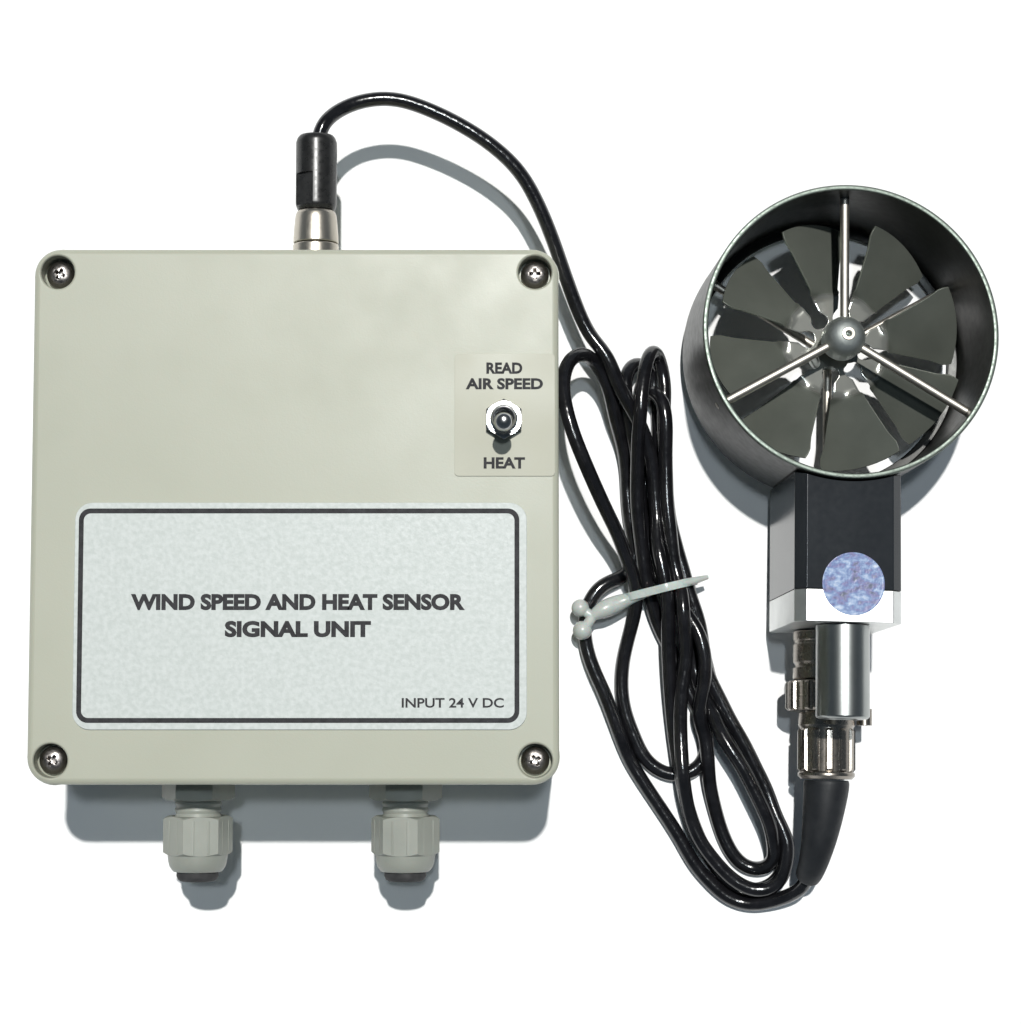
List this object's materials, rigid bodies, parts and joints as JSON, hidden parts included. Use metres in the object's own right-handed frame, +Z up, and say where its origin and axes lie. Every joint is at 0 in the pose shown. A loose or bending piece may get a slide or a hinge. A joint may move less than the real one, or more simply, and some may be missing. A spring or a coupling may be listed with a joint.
{
  "type": "vane anemometer with transmitter box",
  "caption": "Air-speed probe with a vane wheel in a short dark tube, joined by a tied black cord to a pale sensor box with a toggle switch and cable glands.",
  "frame": {"origin": "on the table top under the middle of the footprint of the box and the probe, cord left out", "axes": "+Z up from the table, +Y away from the cable glands towards the probe's tube, +X from the box towards the probe"},
  "size_m": [0.2252, 0.202, 0.0703],
  "materials": {
    "box_plastic": "satin moulded ABS, pale grey-green",
    "gland_plastic": "moulded nylon, light grey",
    "steel": "bright drawn steel",
    "nickel": "nickel plate, warm",
    "chrome": "polished plate",
    "aluminium": "machined aluminium",
    "black_anodised": "satin black anodised aluminium",
    "ring_anodised": "dark grey anodised aluminium",
    "blade_metal": "thin rolled sheet",
    "black_plastic": "moulded",
    "black_rubber": "smooth PVC jacket",
    "dark_rubber": "soft seal rubber",
    "plate_film": "silvery grained film",
    "label_film": "satin film",
    "seal_film": "mottled blue foil",
    "board": "glass-epoxy board",
    "terminal_plastic": "moulded",
    "nylon": "translucent nylon"
  },
  "bodies": {
    "box_and_probe": {"enclosure_base": "box_plastic", "enclosure_lid": "box_plastic", "lid_gasket": "dark_rubber", "lid_screw_1": "steel", "lid_screw_2": "steel", "lid_screw_3": "steel", "lid_screw_4": "steel", "circuit_board": "board", "terminal_block": "terminal_plastic", "board_screw_1": "steel", "board_screw_2": "steel", "board_screw_3": "steel", "board_screw_4": "steel", "nameplate": "plate_film", "switch_label": "label_film", "switch_body": "chrome", "switch_nut": "chrome", "gland_left_body": "gland_plastic", "gland_left_locknut": "gland_plastic", "gland_left_dome_nut": "gland_plastic", "gland_left_seal": "dark_rubber", "gland_right_body": "gland_plastic", "gland_right_locknut": "gland_plastic", "gland_right_dome_nut": "gland_plastic", "gland_right_seal": "dark_rubber", "box_socket": "nickel", "box_socket_nut": "nickel", "box_plug_shell": "nickel", "box_plug_sleeve": "black_plastic", "vane_housing": "ring_anodised", "front_hub": "aluminium", "rear_hub": "aluminium", "front_spoke_1": "steel", "front_spoke_2": "steel", "front_spoke_3": "steel", "rear_spoke_1": "steel", "rear_spoke_2": "steel", "rear_spoke_3": "steel", "front_bearing": "steel", "rear_bearing": "steel", "neck_block": "black_anodised", "neck_end_block": "aluminium", "round_seal": "seal_film", "handle_stub": "chrome", "probe_socket": "nickel", "plug_body": "nickel", "cord_boot": "black_rubber", "cord_from_box": "black_rubber", "cord_hank": "black_rubber", "cable_tie": "nylon", "cord_to_head": "black_rubber"},
    "impeller": {"impeller": "blade_metal", "impeller_shaft": "steel"},
    "switch_lever": {"switch_lever": "chrome"},
    "coupling_ring": {"plug_coupling_ring": "nickel"}
  },
  "joints": [
    {"name": "impeller_spin", "type": "hinge", "parent": "box_and_probe", "child": "impeller", "pos_m": [0.07599, 0.04566, 0.01917], "axis": [0.0674, 0.0543, 0.9962], "continuous": true},
    {"name": "switch_throw", "type": "hinge", "parent": "box_and_probe", "child": "switch_lever", "pos_m": [-0.0051, 0.02304, 0.0594], "axis": [-1, 0, 0], "range_deg": [0, 22]},
    {"name": "coupling_turn", "type": "hinge", "parent": "box_and_probe", "child": "coupling_ring", "pos_m": [0.07354, -0.03993, 0.01396], "axis": [0.0209, 0.9982, -0.0558], "range_deg": [0, 60]}
  ]
}
